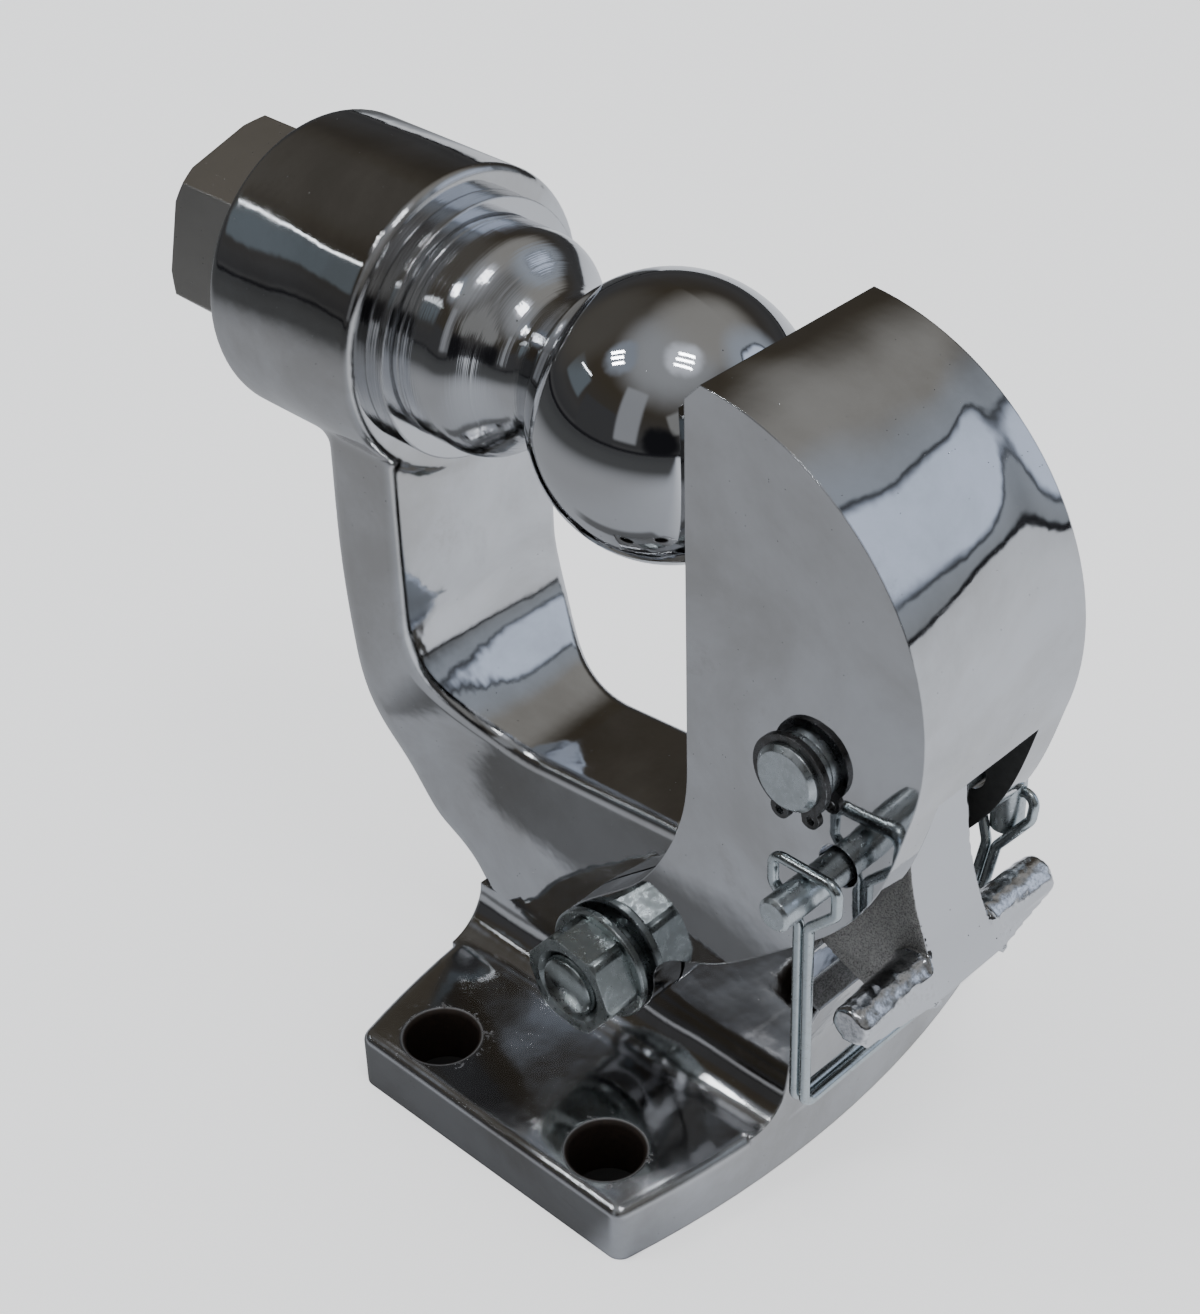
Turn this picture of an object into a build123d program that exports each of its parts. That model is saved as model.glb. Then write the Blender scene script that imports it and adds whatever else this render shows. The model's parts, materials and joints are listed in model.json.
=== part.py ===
from build123d import *
import os
from math import atan2, cos, degrees, hypot, radians, sin, sqrt, tan

# Trailer hook: a cast body with a tow ball across its throat, a jaw that closes over it, and the jaw's latch.
# Millimetres. The origin is the centre of the bolt pattern on the mounting face, Z stands off that face,
# X points from the ball's shank towards the jaw. The hook is symmetric about Y = 0 but for its pins.

# Mounting plate
plate_thickness = 12.7
plate_end_from_bolt = 10.44
plate_width_middle = 83.4
plate_width_end = 69.8
plate_corner_radius = 3.0
plate_edge_radius = 2.2
bolt_spacing_x = 44.45
bolt_spacing_y = 85.72
bolt_hole_diameter = 14.3
bolt_hole_rim_radius = 1.1

# Tongue: the neck on the plate, which the jaw's cheeks straddle
tongue_width = 26.4
neck_width_x = 82.4
neck_foot_radius = 9.5
lip_reach = 7.1
lip_height = 44.0
lip_step_depth = 0.6
lip_step_rise = 1.8
lip_hollow_x = 2.8
lip_hollow_drop = 11.0
lip_slope = 0.42

# Arm and throat
throat_radius = 25.6
throat_height = 88.9
throat_face_from_ball = 51.1
saddle_slope = 5.0
saddle_end_x = 12.0
arm_depth = 19.4
arm_width = 43.2
arm_edge_radius = 2.4
arm_back_radius = 6.0
taper_start = 58.0
taper_end = 96.0
taper_ease = 0.45
back_rounding_share = 0.7
throat_rounding_share = 0.95

# Boss for the ball's shank
boss_radius = 29.3
boss_length = 39.2
boss_front_radius = 1.8
boss_back_radius = 3.0
boss_blend_radius = 5.0
back_start_share = 0.75
neck_back_foot_share = 0.7

# Tow ball
ball_diameter = 50.8
ball_x = 1.6
ball_height = 143.7
ball_neck_radius = 14.0
ball_neck_from_centre = 27.1
bell_radius = 21.4
bell_length = 11.4
bell_shoulder_radius = 18.2
bell_shoulder_reach = 2.2
ball_neck_flare = 1.2
flange_groove_depth = 1.8
flange_radius = 24.8
flange_thickness = 4.2
flange_groove_radius = 22.8
flange_groove_width = 1.6
boss_face_from_ball = 50.4
shank_diameter = 25.4
shank_end_inset = 1.2
ball_nut_across_flats = 38.1
ball_nut_height = 21.8
ball_nut_turn = 13.0
nut_crown_share = 0.6

# Jaw
jaw_width = 42.6
cheek_thickness = 7.7
jaw_arc_x = 21.0
jaw_arc_z = 118.9
jaw_arc_radius = 52.5
shell_thickness = 7.0
shell_lower_edge_z = 104.5
jaw_front_x = 23.8
jaw_front_low_z = 91.0
jaw_front_high_z = 165.2
jaw_tip_x = 27.2
jaw_tip_z = 168.9
jaw_brow_z = 159.6
lobe_radius = 11.7
lobe_top_angle = 136.0
lobe_end_angle = 5.0
shell_shoulder_angle = 35.0

# Pivot of the jaw
pivot_x = 3.2
pivot_z = 34.9
pivot_bolt_diameter = 12.7
pivot_sleeve_diameter = 17.2
pivot_sleeve_overhang = 1.3
pivot_washer_diameter = 23.4
pivot_washer_thickness = 1.8
small_nut_across_flats = 19.05
small_nut_height = 8.1
small_nut_turn = -8.0
bolt_head_height = 8.2
bolt_thread_overhang = 1.0
bolt_end_chamfer = 1.17
washer_chamfer_share = 0.2

# Latch and its pin
latch_pin_x = 49.5
latch_pin_z = 105.5
latch_pin_diameter = 12.7
latch_pin_overhang = 5.0
pin_chamfer = 0.9
ring_from_cheek = 2.2
ring_thickness = 1.2
ring_groove_depth = 0.7
ring_width = 2.2
ring_ear_radius = 2.0
ring_ear_hole_diameter = 1.7
ring_ear_angle = 24.0
ring_turn = 10.0
ring_ear_hole_drop = 0.4
ring_mouth_share = 1.5
ring_ear_neck_share = 1.6
latch_width = 16.4
latch_eye_radius = 11.0
latch_eye_front_angle = 10.0
latch_eye_back_angle = 8.0
latch_back_cover = 4.7
seat_angle = 47.0
seat_length = 8.0
foot_x = 43.6
foot_z = 54.7
handle_x = 65.5
handle_z = 61.0
handle_diameter = 8.2
handle_span = 54.4
handle_end_rounding = 0.14
heel_out_x = 2.9
heel_out_z = 2.6
heel_in_x = -1.2
heel_in_z = 14.0
heel_under_x = 1.6
heel_under_z = -5.2
heel_low_x = -10.4
heel_low_z = -11.1
nose_x = -9.4
nose_z = -24.0
spring_wire = 1.9
spring_turns = 2.0

# Lock pin and its wire
lock_pin_x = 57.6
lock_pin_z = 88.8
lock_pin_diameter = 6.35
lock_pin_tip_overhang = 16.9
lock_pin_cheek_hole = 8.2
lock_pin_latch_slot = 6.9
lock_pin_bend_radius = 5.0
lock_pin_end_chamfer = 0.63
lock_pin_tail_gap = 3.0
lock_pin_tail_length = 21.0
latch_swing = 20.0
bail_wire = 2.0
bail_wire_gap = 0.15
bail_hole_up = 9.0
bail_near_leg_y = 29.9
bail_bottom_z = 40.2
bail_far_foot_y = 13.0
bail_loop_half_width = 6.8
bail_loop_low_z = 81.5
bail_loop_side_z = 87.5
bail_bend_radius = 2.2
bail_merge_drop = 11.0
bail_shoulder_drop = 4.5
bail_end_share = 0.35

# Clearances
press_gap = 0.02
running_gap = 0.1
bolt_gap = 0.15
side_gap = 0.4
seat_gap = 0.3
match_gap = 0.02

# Worked out from the sizes above
plate_length = bolt_spacing_y + 2 * plate_end_from_bolt
half_tongue = tongue_width / 2
half_jaw = jaw_width / 2
cheek_inside = half_jaw - cheek_thickness
half_latch = latch_width / 2
ball_radius = ball_diameter / 2
boss_face_x = ball_x - boss_face_from_ball
boss_back_x = boss_face_x - boss_length
throat_face_x = ball_x - throat_face_from_ball
throat_centre_x = throat_face_x + throat_radius
arm_back_x = throat_face_x - arm_depth
neck_half_x = neck_width_x / 2
sleeve_half = half_jaw + pivot_sleeve_overhang
latch_pin_half = half_jaw + latch_pin_overhang
lip_x = neck_half_x + lip_reach
seat_along = Vector(-cos(radians(seat_angle)), sin(radians(seat_angle)))
seat_normal = Vector(sin(radians(seat_angle)), cos(radians(seat_angle)))
lock_pin_reach = hypot(lock_pin_x - latch_pin_x, lock_pin_z - latch_pin_z)
lock_pin_bearing = degrees(atan2(lock_pin_z - latch_pin_z, lock_pin_x - latch_pin_x))


def closed_face(*lines):
    """A flat face bounded by lines given in order."""
    return make_face([edge for line in lines for edge in line.edges()])


def rod_y(radius, start, end, x, z):
    """A round bar along Y at x, z, from start to end."""
    return Pos(x, (start + end) / 2, z) * Rot(90, 0, 0) * Cylinder(radius, abs(end - start))


def rod_x(radius, start, end, y, z):
    """A round bar along X at y, z, from start to end."""
    return Pos((start + end) / 2, y, z) * Rot(0, 90, 0) * Cylinder(radius, abs(end - start))


def slab_y(face, start, end):
    """A face drawn in the XZ plane, made solid between two places along Y."""
    low, high = min(start, end), max(start, end)
    return extrude(Plane.XZ.offset(-high) * face, high - low)


def on_centre(face, half):
    """A face drawn in the XZ plane, made solid to both sides of Y = 0."""
    return slab_y(face, -half, half)


def hex_bar(across_flats, start, end, turn):
    """A hexagonal bar along Z with both ends' corners turned off."""
    corner = across_flats / sqrt(3)
    height = end - start
    bar = extrude(Plane.XY.offset(start) * Rot(0, 0, turn) * RegularPolygon(corner, 6), height)
    crown = (corner - across_flats / 2) * nut_crown_share
    turned = Pos(0, 0, (start + end) / 2) * Cylinder(corner, height)
    turned = chamfer(turned.edges().filter_by(GeomType.CIRCLE), crown)
    return bar & turned


def plate_outline():
    """Barrel shape of the mounting plate, seen from above."""
    half_y = plate_length / 2
    half_end = plate_width_end / 2
    half_mid = plate_width_middle / 2
    outline = closed_face(
        Line((-half_end, half_y), (half_end, half_y)),
        ThreePointArc((half_end, half_y), (half_mid, 0), (half_end, -half_y)),
        Line((half_end, -half_y), (-half_end, -half_y)),
        ThreePointArc((-half_end, -half_y), (-half_mid, 0), (-half_end, half_y)),
    )
    return fillet(outline.vertices(), plate_corner_radius)


def plate():
    """Mounting plate with its rounded edge and four bolt holes."""
    solid = extrude(plate_outline(), plate_thickness)
    solid = fillet(solid.edges().group_by(Axis.Z)[-1], plate_edge_radius)
    for place in GridLocations(bolt_spacing_x, bolt_spacing_y, 2, 2):
        solid -= place * Cylinder(bolt_hole_diameter / 2, plate_thickness * 3)
    rims = solid.edges().filter_by(GeomType.CIRCLE).group_by(Axis.Z)[-1]
    rims = rims.filter_by(lambda edge: abs(edge.radius - bolt_hole_diameter / 2) < match_gap)
    return fillet(rims, bolt_hole_rim_radius)


def neck_feet():
    """Concave feet that lead the neck's sides onto the plate."""
    reach = half_tongue + neck_foot_radius
    low = plate_thickness - plate_edge_radius
    high = plate_thickness + neck_foot_radius
    block = Pos(0, 0, (low + high) / 2) * Box(neck_width_x, 2 * reach, high - low)
    for side in (1, -1):
        block -= rod_x(neck_foot_radius, -plate_length, plate_length, side * reach, high)
    return block & extrude(plate_outline(), high)


def body_outline():
    """Side view of the neck, the tongue, the throat and the arm, in the XZ plane."""
    rise = tan(radians(saddle_slope))
    ramp_start = (
        throat_centre_x + throat_radius * sin(radians(saddle_slope)),
        throat_height - throat_radius * cos(radians(saddle_slope)),
    )
    saddle_end = (saddle_end_x, ramp_start[1] + (saddle_end_x - ramp_start[0]) * rise)
    foot = Vector(foot_x, foot_z) - seat_normal * seat_gap
    seat_low = foot - seat_along
    seat_high = seat_low + seat_along * seat_length
    step_x = seat_low.X - lip_step_depth
    step_z = lip_height + lip_step_rise
    lip = (lip_x, lip_height)
    neck_low = plate_thickness - plate_edge_radius
    neck_front = (neck_half_x, neck_low + neck_foot_radius)
    neck_back = (-neck_half_x, neck_low + neck_foot_radius * neck_back_foot_share)
    top = ball_height
    back = Spline(
        (arm_back_x, ball_height - boss_radius * back_start_share),
        (arm_back_x - arm_depth * 0.01, throat_height * 1.09),
        (arm_back_x + arm_depth * 0.124, throat_height * 0.781),
        (arm_back_x + arm_depth * 0.34, throat_height * 0.533),
        (arm_back_x + arm_depth * 0.753, throat_height * 0.343),
        (arm_back_x + arm_depth * 1.206, throat_height * 0.28),
        neck_back,
        tangents=((0, -1), (0, -1)),
        tangent_scalars=(1, 0.6),
    )
    hollow = (neck_half_x + lip_hollow_x, lip_height - lip_hollow_drop)
    front = Spline(neck_front, hollow, lip, tangents=((0, 1), (lip_slope, 1)))
    return closed_face(
        Line((arm_back_x, top), back @ 0),
        back,
        Polyline(neck_back, (-neck_half_x, neck_low), (neck_half_x, neck_low), neck_front),
        front,
        Polyline(lip, (step_x, step_z), (step_x, seat_low.Y), (seat_low.X, seat_low.Y)),
        Polyline((seat_low.X, seat_low.Y), (seat_high.X, seat_high.Y), saddle_end, ramp_start),
        ThreePointArc(
            ramp_start,
            (
                throat_centre_x - throat_radius * sin(radians(45)),
                throat_height - throat_radius * cos(radians(45)),
            ),
            (throat_face_x, throat_height),
        ),
        Polyline((throat_face_x, throat_height), (throat_face_x, top), (arm_back_x, top)),
    )


def width_outline():
    """Half of the arm's width against the distance along the diagonal from the tongue to the arm."""
    half_arm = arm_width / 2
    reach = plate_length * 4
    bend = (taper_end - taper_start) * taper_ease
    sides = []
    for side in (1, -1):
        low, high = (side * half_tongue, taper_start), (side * half_arm, taper_end)
        ease = Bezier(low, (low[0], taper_start + bend), (high[0], taper_end - bend), high)
        sides += [Line((low[0], -reach), low), ease, Line(high, (high[0], reach))]
    top = Line((half_arm, reach), (-half_arm, reach))
    bottom = Line((half_tongue, -reach), (-half_tongue, -reach))
    return closed_face(*sides, top, bottom)


def long_edges(solid):
    """The arm's edges above the neck and below the boss's axis."""
    edges = solid.edges().filter_by(lambda edge: edge.center().X < saddle_end_x - arm_width)
    edges = edges.filter_by(lambda edge: edge.center().Z > lip_height)
    edges = edges.filter_by(lambda edge: abs(edge.center().Y) > half_tongue * 0.9)
    return edges.filter_by(lambda edge: edge.center().Z < ball_height - 1)


def arm():
    """Neck, tongue and arm, well rounded along the back and less along the throat."""
    diagonal = Plane(origin=(0, 0, 0), x_dir=(0, 1, 0), z_dir=(1, 0, 1))
    solid = on_centre(body_outline(), plate_length / 2)
    solid &= extrude(diagonal * width_outline(), plate_length * 4, both=True)
    back_limit = arm_back_x + arm_depth * back_rounding_share
    solid = fillet(long_edges(solid).filter_by(lambda edge: (edge @ 0.5).X < back_limit), arm_back_radius)
    throat_limit = arm_back_x + arm_depth * throat_rounding_share
    along = long_edges(solid).filter_by(lambda edge: (edge @ 0.5).X > throat_limit and edge.length > 1)
    solid = fillet(along, arm_edge_radius)
    cheek_side = half_tongue + arm_width / 2
    for side in (1, -1):
        cheek_room = Pos(saddle_end_x + plate_length * 0.4, side * cheek_side, throat_height)
        solid -= cheek_room * Box(plate_length, arm_width, throat_height)
    return solid


def boss():
    """Cylinder for the ball's shank, with rounded rims."""
    solid = rod_x(boss_radius, boss_back_x, boss_face_x, 0, ball_height)
    rims = solid.edges().filter_by(GeomType.CIRCLE).sort_by(Axis.X)
    solid = fillet(rims[0], boss_back_radius)
    rims = solid.edges().filter_by(GeomType.CIRCLE).sort_by(Axis.X)
    return fillet(rims[-1], boss_front_radius)


def on_boss_seam(edge):
    """Whether an edge is where the arm's sides and back meet the boss."""
    for share in (0.1, 0.5, 0.9):
        place = edge @ share
        if abs(hypot(place.Y, place.Z - ball_height) - boss_radius) > match_gap:
            return False
    middle = edge @ 0.5
    within = boss_back_x + boss_back_radius < middle.X < throat_face_x - 1
    return within and middle.Z < ball_height and abs(middle.Y) > 0.5


def hook_body():
    """Plate, neck, arm and boss in one casting, bored for the shank and for the pivot sleeve."""
    body = arm() + boss()
    body = fillet(body.edges().filter_by(on_boss_seam), boss_blend_radius)
    body = body + neck_feet() + plate()
    body -= rod_x(shank_diameter / 2 + bolt_gap, boss_back_x - 1, ball_x, 0, ball_height)
    body -= rod_y(pivot_sleeve_diameter / 2 + press_gap, -half_jaw, half_jaw, pivot_x, pivot_z)
    return body


def tow_ball():
    """Ball, waisted neck, bell, grooved flange and shank, turned about the X axis."""
    bell_end = boss_face_x + flange_thickness + bell_length
    waist_x = ball_x - ball_neck_from_centre
    flare_radius = ball_neck_radius + ball_neck_flare
    waist_meet = sqrt(ball_radius**2 - flare_radius**2)
    groove_start = boss_face_x + flange_thickness
    groove_end = groove_start + flange_groove_width
    groove_floor = flange_groove_radius - flange_groove_depth
    shank_end_x = boss_back_x - ball_nut_height + shank_end_inset
    profile = closed_face(
        Polyline(
            (shank_end_x, 0),
            (shank_end_x, shank_diameter / 2),
            (boss_face_x, shank_diameter / 2),
            (boss_face_x, flange_radius),
            (groove_start, flange_radius),
            (groove_start, groove_floor),
            (groove_end, groove_floor),
            (groove_end, bell_radius),
            (groove_end + bell_length / 2, bell_radius),
        ),
        Spline(
            (groove_end + bell_length / 2, bell_radius),
            (bell_end + bell_shoulder_reach, bell_shoulder_radius),
            (waist_x, ball_neck_radius),
            (ball_x - waist_meet, flare_radius),
            tangents=((1, 0), (1, 0.55)),
        ),
        ThreePointArc(
            (ball_x - waist_meet, flare_radius),
            (ball_x, ball_radius),
            (ball_x + ball_radius, 0),
        ),
        Line((ball_x + ball_radius, 0), (shank_end_x, 0)),
    )
    return Pos(0, 0, ball_height) * revolve(Plane.XZ * profile, Axis.X)


def ball_nut():
    """Hexagonal nut on the ball's shank, tight on the boss's back face."""
    nut = hex_bar(ball_nut_across_flats, 0, ball_nut_height, ball_nut_turn)
    nut -= Cylinder(shank_diameter / 2 + bolt_gap, ball_nut_height * 3)
    return Pos(boss_back_x, 0, ball_height) * Rot(0, -90, 0) * nut


def jaw_outline():
    """Side view of the jaw: a straight front, a round back and the lobe round the pivot."""
    lower_edge_x = jaw_arc_x + sqrt(jaw_arc_radius**2 - (shell_lower_edge_z - jaw_arc_z) ** 2)
    shoulder = (
        jaw_arc_x + jaw_arc_radius * cos(radians(shell_shoulder_angle)),
        jaw_arc_z + jaw_arc_radius * sin(radians(shell_shoulder_angle)),
    )
    lobe = Vector(pivot_x, pivot_z)
    lobe_top = lobe + Vector(lobe_radius, 0).rotate(Axis.Z, lobe_top_angle)
    lobe_side = lobe + Vector(-lobe_radius, 0)
    lobe_bottom = lobe + Vector(0, -lobe_radius)
    lobe_end = lobe + Vector(lobe_radius, 0).rotate(Axis.Z, lobe_end_angle)
    lobe_heading = radians(lobe_end_angle + 90)
    top_heading = radians(lobe_top_angle + 90)
    front_low = (jaw_front_x, jaw_front_low_z)
    front_reach = jaw_front_x - pivot_x
    front_rise = jaw_front_low_z - pivot_z
    back_reach = lower_edge_x - pivot_x
    back_rise = shell_lower_edge_z - pivot_z
    return closed_face(
        Polyline((jaw_tip_x, jaw_tip_z), (jaw_front_x, jaw_front_high_z), front_low),
        Spline(
            front_low,
            (pivot_x + front_reach * 0.767, pivot_z + front_rise * 0.633),
            (pivot_x + front_reach * 0.427, pivot_z + front_rise * 0.43),
            (lobe_top.X, lobe_top.Y),
            tangents=((0, -1), (cos(top_heading), sin(top_heading))),
        ),
        ThreePointArc((lobe_top.X, lobe_top.Y), (lobe_side.X, lobe_side.Y), (lobe_bottom.X, lobe_bottom.Y)),
        ThreePointArc(
            (lobe_bottom.X, lobe_bottom.Y),
            (pivot_x + lobe_radius * cos(radians(45)), pivot_z - lobe_radius * sin(radians(45))),
            (lobe_end.X, lobe_end.Y),
        ),
        Spline(
            (lobe_end.X, lobe_end.Y),
            (pivot_x + back_reach * 0.206, pivot_z + back_rise * 0.099),
            (pivot_x + back_reach * 0.343, pivot_z + back_rise * 0.18),
            (pivot_x + back_reach * 0.599, pivot_z + back_rise * 0.376),
            (pivot_x + back_reach * 0.817, pivot_z + back_rise * 0.589),
            (pivot_x + back_reach * 0.924, pivot_z + back_rise * 0.763),
            (lower_edge_x, shell_lower_edge_z),
            tangents=((cos(lobe_heading), sin(lobe_heading)), (0.27, 1)),
            tangent_scalars=(1, 1),
        ),
        ThreePointArc((lower_edge_x, shell_lower_edge_z), shoulder, (jaw_tip_x, jaw_tip_z)),
    )


def jaw():
    """Two cheeks joined by a curved shell, open in front for the ball and below for the latch."""
    outline = jaw_outline()
    wide = jaw_arc_radius * 6
    through = jaw_width
    room = Pos(jaw_arc_x, jaw_arc_z) * Circle(jaw_arc_radius - shell_thickness)
    brow = Pos(jaw_arc_x, jaw_brow_z + jaw_arc_radius) * Rectangle(wide, jaw_arc_radius * 2)
    below = Pos(jaw_arc_x, shell_lower_edge_z - jaw_arc_radius) * Rectangle(wide, jaw_arc_radius * 2)
    shell = outline - (room - brow) - below
    solid = slab_y(outline, cheek_inside, half_jaw)
    solid += slab_y(outline, -half_jaw, -cheek_inside)
    solid += on_centre(shell, half_jaw)
    solid -= rod_y(pivot_sleeve_diameter / 2 + running_gap, -through, through, pivot_x, pivot_z)
    solid -= rod_y(latch_pin_diameter / 2 + running_gap, -through, through, latch_pin_x, latch_pin_z)
    solid -= rod_y(lock_pin_cheek_hole / 2, -through, through, lock_pin_x, lock_pin_z)
    return solid


def pivot_sleeve():
    """Hard sleeve pressed in the tongue: the cheeks turn on it and the bolt clamps its ends."""
    through = sleeve_half * 2
    sleeve = rod_y(pivot_sleeve_diameter / 2, -sleeve_half, sleeve_half, pivot_x, pivot_z)
    return sleeve - rod_y(pivot_bolt_diameter / 2 + bolt_gap, -through, through, pivot_x, pivot_z)


def pivot_washer(side):
    """Flat washer on one end of the sleeve."""
    start = side * sleeve_half
    end = start + side * pivot_washer_thickness
    disc = rod_y(pivot_washer_diameter / 2, start, end, pivot_x, pivot_z)
    disc = chamfer(disc.edges().filter_by(GeomType.CIRCLE), pivot_washer_thickness * washer_chamfer_share)
    return disc - rod_y(pivot_bolt_diameter / 2 + bolt_gap, start * 3, -start, pivot_x, pivot_z)


def pivot_nut():
    """Nut on the near end of the pivot bolt."""
    nut = hex_bar(small_nut_across_flats, 0, small_nut_height, small_nut_turn)
    nut -= Cylinder(pivot_bolt_diameter / 2 + bolt_gap, small_nut_height * 3)
    start = -sleeve_half - pivot_washer_thickness
    return Pos(pivot_x, start, pivot_z) * Rot(90, 0, 0) * nut


def pivot_bolt():
    """Hexagon-headed bolt, head on the far side."""
    head_start = sleeve_half + pivot_washer_thickness
    near_end = sleeve_half + pivot_washer_thickness + small_nut_height + bolt_thread_overhang
    shank = rod_y(pivot_bolt_diameter / 2, -near_end, head_start, pivot_x, pivot_z)
    shank = chamfer(shank.edges().filter_by(GeomType.CIRCLE).sort_by(Axis.Y)[0], bolt_end_chamfer)
    head = hex_bar(small_nut_across_flats, 0, bolt_head_height, small_nut_turn)
    return shank + Pos(pivot_x, head_start, pivot_z) * Rot(-90, 0, 0) * head


def latch_pin():
    """Plain pin through both cheeks, with a groove near each end for its ring."""
    pin = rod_y(latch_pin_diameter / 2, -latch_pin_half, latch_pin_half, latch_pin_x, latch_pin_z)
    pin = chamfer(pin.edges().filter_by(GeomType.CIRCLE), pin_chamfer)
    for side in (1, -1):
        start = side * (half_jaw + ring_from_cheek - press_gap)
        end = side * (half_jaw + ring_from_cheek + ring_thickness + press_gap)
        groove = rod_y(latch_pin_diameter, start, end, latch_pin_x, latch_pin_z)
        core = rod_y(latch_pin_diameter / 2 - ring_groove_depth, start * 2, end / 2, latch_pin_x, latch_pin_z)
        pin -= groove - core
    return pin


def latch_pin_ring(side):
    """External retaining ring with two drilled ears, open at the bottom."""
    inner = latch_pin_diameter / 2 - ring_groove_depth + press_gap
    outer = inner + ring_width
    ring = Circle(outer) - Circle(inner)
    for turn in (-ring_ear_angle, ring_ear_angle):
        ear = Rot(0, 0, turn) * Pos(0, -outer) * Circle(ring_ear_radius)
        neck_width = ring_ear_radius * ring_ear_neck_share
        neck = Rot(0, 0, turn) * Pos(0, -(inner + outer) / 2) * Rectangle(neck_width, ring_width)
        ring += ear + neck
    ring -= Circle(inner)
    ring -= Pos(0, -outer) * Rectangle(ring_ear_radius * ring_mouth_share, outer)
    for turn in (-ring_ear_angle, ring_ear_angle):
        ring -= Rot(0, 0, turn) * Pos(0, -outer - ring_ear_hole_drop) * Circle(ring_ear_hole_diameter / 2)
    ring = Pos(latch_pin_x, latch_pin_z) * Rot(0, 0, ring_turn) * ring
    start = side * (half_jaw + ring_from_cheek)
    return slab_y(ring, start, start + side * ring_thickness)


def latch_outline():
    """Side view of the latch: eye, long back, round heel, foot and the sloping seat face."""
    foot = Vector(foot_x, foot_z)
    face_top = foot + seat_along * (seat_length + 1)
    front_angle = radians(latch_eye_front_angle)
    back_angle = radians(latch_eye_back_angle)
    eye_front = (
        latch_pin_x - latch_eye_radius * cos(front_angle),
        latch_pin_z - latch_eye_radius * sin(front_angle),
    )
    eye_back = (
        latch_pin_x + latch_eye_radius * cos(back_angle),
        latch_pin_z - latch_eye_radius * sin(back_angle),
    )
    heel_out = (handle_x + heel_out_x, handle_z + heel_out_z)
    heel_low = (handle_x + heel_low_x, handle_z + heel_low_z)
    heel_heading = (0.33, -1)
    return closed_face(
        ThreePointArc(eye_front, (latch_pin_x, latch_pin_z + latch_eye_radius), eye_back),
        Spline(
            eye_back,
            (lock_pin_x + latch_back_cover, lock_pin_z),
            (handle_x + heel_in_x, handle_z + heel_in_z),
            heel_out,
            tangents=((0.14, -1), heel_heading),
        ),
        Spline(
            heel_out,
            (handle_x + heel_under_x, handle_z + heel_under_z),
            heel_low,
            tangents=(heel_heading, (-1, -0.25)),
        ),
        Polyline(heel_low, (foot.X, foot.Y), (face_top.X, face_top.Y)),
        Spline((face_top.X, face_top.Y), (latch_pin_x + nose_x, latch_pin_z + nose_z), eye_front),
    )


def latch_handle():
    """Cast latch with a round handle stub on each side of its heel and a slot for the lock pin."""
    outline = latch_outline()
    solid = on_centre(outline, half_latch)
    handle = rod_y(handle_diameter / 2, -handle_span / 2, handle_span / 2, handle_x, handle_z)
    handle = fillet(handle.edges().filter_by(GeomType.CIRCLE), handle_diameter * handle_end_rounding)
    solid += handle
    solid -= rod_y(latch_pin_diameter / 2 + bolt_gap, -half_jaw, half_jaw, latch_pin_x, latch_pin_z)
    slot_swing = latch_swing + 1
    path = CenterArc((latch_pin_x, latch_pin_z), lock_pin_reach, lock_pin_bearing - slot_swing, slot_swing)
    slot = SlotArc(path, lock_pin_latch_slot)
    return solid - on_centre(slot, half_jaw)


def latch_spring():
    """Coil spring round the latch pin, between the latch and the far cheek."""
    start = half_latch + side_gap / 2 + spring_wire / 2
    pitch = (cheek_inside - half_latch - side_gap - spring_wire) / spring_turns
    radius = latch_pin_diameter / 2 + bolt_gap + spring_wire / 2 + side_gap
    coil = Helix(pitch, pitch * spring_turns, radius)
    profile = Plane(origin=coil @ 0, z_dir=coil % 0) * Circle(spring_wire / 2)
    spring = sweep(profile, path=coil, is_frenet=True)
    return Pos(latch_pin_x, start, latch_pin_z) * Rot(-90, 0, 0) * spring


def lock_pin():
    """Pin bent down at its far end, where its wire is hung."""
    radius = lock_pin_diameter / 2
    tip_y = -half_jaw - lock_pin_tip_overhang
    tail_y = half_jaw + lock_pin_tail_gap + radius
    tail_low = lock_pin_z - lock_pin_tail_length
    path = FilletPolyline(
        (lock_pin_x, tip_y, lock_pin_z),
        (lock_pin_x, tail_y, lock_pin_z),
        (lock_pin_x, tail_y, tail_low),
        radius=lock_pin_bend_radius,
    )
    pin = sweep(Plane(origin=path @ 0, z_dir=path % 0) * Circle(radius), path=path)
    ends = pin.edges().filter_by(GeomType.CIRCLE).filter_by(lambda edge: abs(edge.radius - radius) < match_gap)
    pin = chamfer(ends.sort_by(Axis.Y)[0], lock_pin_end_chamfer)
    hole_z = tail_low + bail_hole_up
    return pin - rod_x(bail_wire / 2 + running_gap, 0, lock_pin_x * 2, tail_y, hole_z)


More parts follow.
